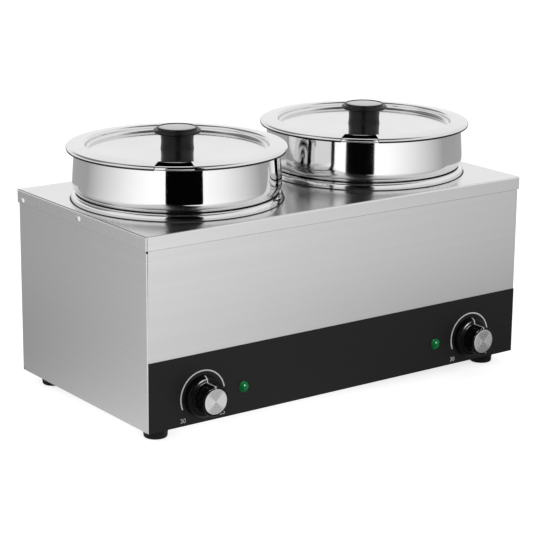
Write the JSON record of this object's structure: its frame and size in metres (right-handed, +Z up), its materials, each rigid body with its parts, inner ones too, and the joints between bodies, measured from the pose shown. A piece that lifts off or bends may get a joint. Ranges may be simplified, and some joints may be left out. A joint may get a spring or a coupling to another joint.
{
  "type": "soup kettle",
  "caption": "Twin-pot electric soup kettle: brushed steel housing with heated water wells, lift-out polished pots, notched lids, thermostat knobs and pilot lamps.",
  "frame": {"origin": "on the table, under the middle of the housing", "axes": "+X to the right seen from the front, +Y to the back, +Z up"},
  "size_m": [0.4834, 0.2946, 0.2845],
  "materials": {
    "housing_steel": "brushed stainless sheet, fine grain along its length",
    "deck_steel": "brushed stainless sheet, half bright",
    "well_steel": "polished stainless",
    "pot_steel": "mirror polished stainless",
    "lid_steel": "mirror polished stainless",
    "screw_steel": "bright plated",
    "control_black": "black printed polycarbonate, faint texture",
    "dial_black": "glossy black phenolic",
    "lid_knob_black": "satin black phenolic",
    "spun_aluminium": "spun face",
    "lamp_green": "clear green lens",
    "lamp_body": "moulded",
    "foot_rubber": "matt black",
    "element_steel": "heat darkened steel",
    "thermostat_case": "moulded",
    "bulb_copper": "bare copper",
    "terminal_white": "moulded",
    "earth_brass": "bare",
    "gland_black": "moulded nylon",
    "live_brown": "wire insulation",
    "switched_red": "wire insulation",
    "neutral_blue": "wire insulation"
  },
  "bodies": {
    "housing": {"body_wrapper": "housing_steel", "control_strip": "control_black", "back_panel": "housing_steel", "base_plate": "housing_steel", "top_deck": "deck_steel", "deck_screws": "screw_steel", "back_screws": "screw_steel", "foot_front_left": "foot_rubber", "foot_front_right": "foot_rubber", "foot_back_left": "foot_rubber", "foot_back_right": "foot_rubber", "foot_screws": "screw_steel", "foot_nuts": "screw_steel", "well_left": "well_steel", "well_right": "well_steel", "element_left": "element_steel", "element_right": "element_steel", "element_clamp_left": "element_steel", "element_clamp_right": "element_steel", "clamp_nuts": "screw_steel", "thermostat_left": "thermostat_case", "thermostat_right": "thermostat_case", "thermostat_screws": "screw_steel", "bulb_left": "bulb_copper", "bulb_right": "bulb_copper", "bulb_clips": "element_steel", "pilot_lens_left": "lamp_green", "pilot_lens_right": "lamp_green", "pilot_body_left": "lamp_body", "pilot_body_right": "lamp_body", "terminal_block": "terminal_white", "terminal_screws": "screw_steel", "earth_stud": "earth_brass", "cord_gland": "gland_black", "gland_nut": "gland_black", "live_wires": "live_brown", "switched_wires": "switched_red", "neutral_wires": "neutral_blue", "lamp_feed_wires": "switched_red", "lamp_return_wires": "neutral_blue"},
    "left_pot": {"pot_left": "pot_steel"},
    "left_lid": {"lid_left": "lid_steel", "lid_knob_left": "lid_knob_black", "lid_screw_left": "screw_steel"},
    "left_control": {"control_knob_left": "dial_black", "knob_disc_left": "spun_aluminium", "thermostat_shaft_left": "screw_steel"},
    "right_pot": {"pot_right": "pot_steel"},
    "right_lid": {"lid_right": "lid_steel", "lid_knob_right": "lid_knob_black", "lid_screw_right": "screw_steel"},
    "right_control": {"control_knob_right": "dial_black", "knob_disc_right": "spun_aluminium", "thermostat_shaft_right": "screw_steel"}
  },
  "joints": [
    {"name": "left_pot_lift", "type": "slide", "parent": "housing", "child": "left_pot", "axis": [0, 0, 1], "range_m": [0, 0.2]},
    {"name": "left_lid_lift", "type": "slide", "parent": "left_pot", "child": "left_lid", "axis": [0, 0, 1], "range_m": [0, 0.1]},
    {"name": "left_control_turn", "type": "hinge", "parent": "housing", "child": "left_control", "pos_m": [-0.175, -0.1243, 0.041], "axis": [0, 1, 0], "range_deg": [-112, 112]},
    {"name": "right_pot_lift", "type": "slide", "parent": "housing", "child": "right_pot", "axis": [0, 0, 1], "range_m": [0, 0.2]},
    {"name": "right_lid_lift", "type": "slide", "parent": "right_pot", "child": "right_lid", "axis": [0, 0, 1], "range_m": [0, 0.1]},
    {"name": "right_control_turn", "type": "hinge", "parent": "housing", "child": "right_control", "pos_m": [0.175, -0.1243, 0.041], "axis": [0, 1, 0], "range_deg": [-112, 112]}
  ]
}
